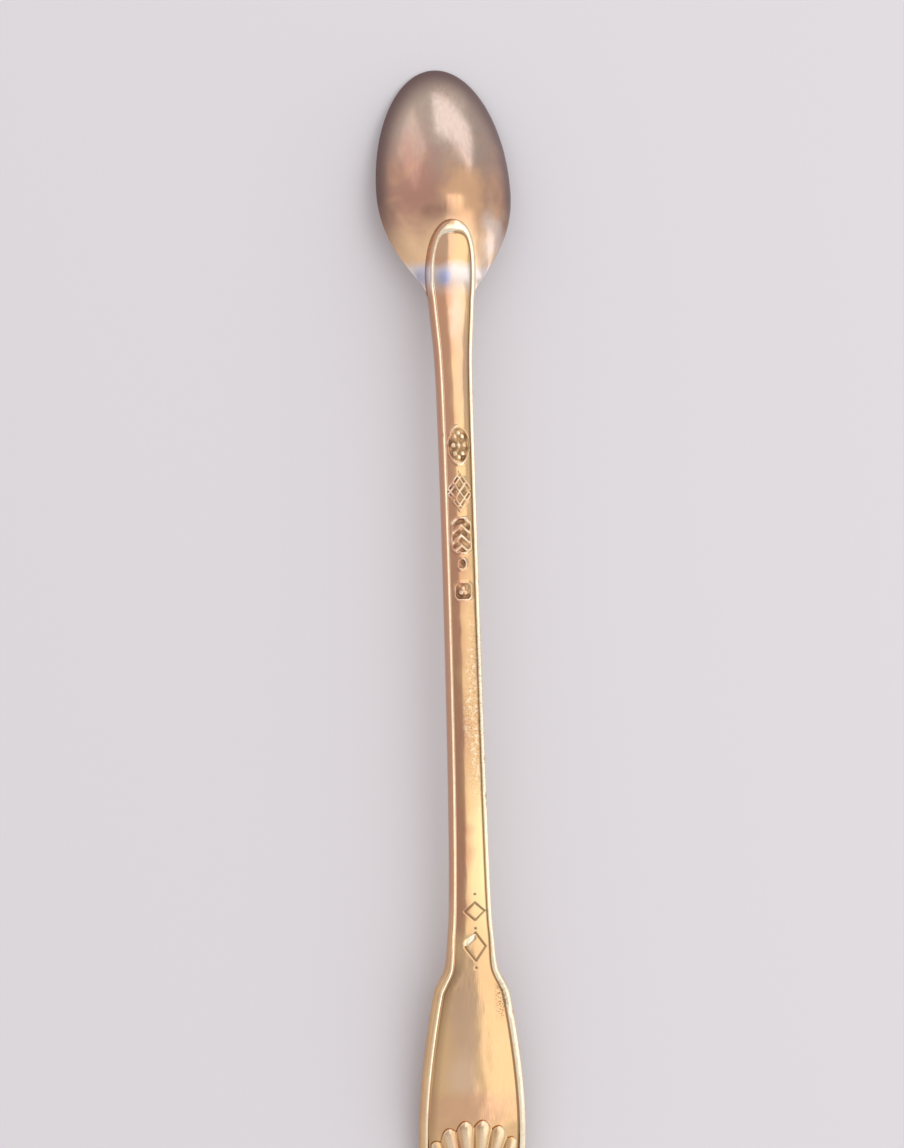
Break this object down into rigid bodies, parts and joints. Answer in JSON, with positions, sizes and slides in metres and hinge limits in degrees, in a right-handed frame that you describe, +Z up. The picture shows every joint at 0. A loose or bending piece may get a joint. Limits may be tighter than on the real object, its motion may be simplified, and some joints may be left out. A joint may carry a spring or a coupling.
{
  "type": "medicine spoon",
  "caption": "Long-handled silver-gilt medicine spoon with a small egg-shaped bowl, a threaded stem lapped on the bowl's back, and a fiddle end with a shell on each face.",
  "frame": {"origin": "on the table, under the middle of the spoon's length, with the spoon lying face down", "axes": "+Y from the handle's end to the bowl's tip, +X to the right seen from above, +Z up, out of the spoon's back"},
  "size_m": [0.0232, 0.2, 0.0118],
  "materials": {
    "worn_gilt": "worn polished silver-gilt, the gilding rubbed thin",
    "gilt": "polished silver-gilt with fine scratches",
    "solder": "silver solder"
  },
  "bodies": {
    "root": {"bowl": "worn_gilt", "handle": "gilt", "heel_solder": "solder", "shell_back": "gilt", "shell_front": "gilt"}
  },
  "joints": []
}
